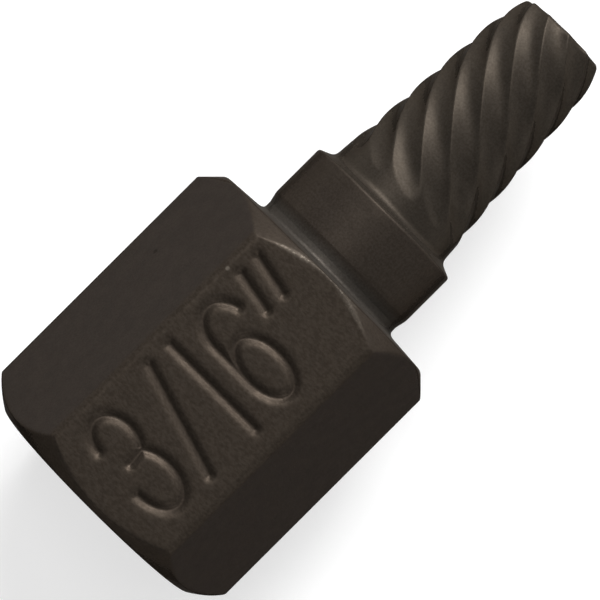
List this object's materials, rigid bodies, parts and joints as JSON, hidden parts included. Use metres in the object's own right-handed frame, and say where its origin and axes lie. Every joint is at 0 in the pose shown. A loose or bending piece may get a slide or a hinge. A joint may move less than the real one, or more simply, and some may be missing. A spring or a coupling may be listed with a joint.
{
  "type": "screw extractor",
  "caption": "Hex-head screw extractor in dark oxidised steel, with a plain collar and a tapered tip cut with left-hand spiral flutes.",
  "frame": {"origin": "centre of the hexagonal head's flat rear end face, on the tool's axis", "axes": "+X along the tool's axis from the head to the tip, +Z out of the head flat that carries the size mark, so that the tool lies on the flat that faces -Z"},
  "size_m": [0.0228, 0.0108, 0.0096],
  "materials": {
    "oxidised_steel": "matte brown-black oxide on steel, fine grained"
  },
  "bodies": {
    "root": {"extractor": "oxidised_steel"}
  },
  "joints": []
}
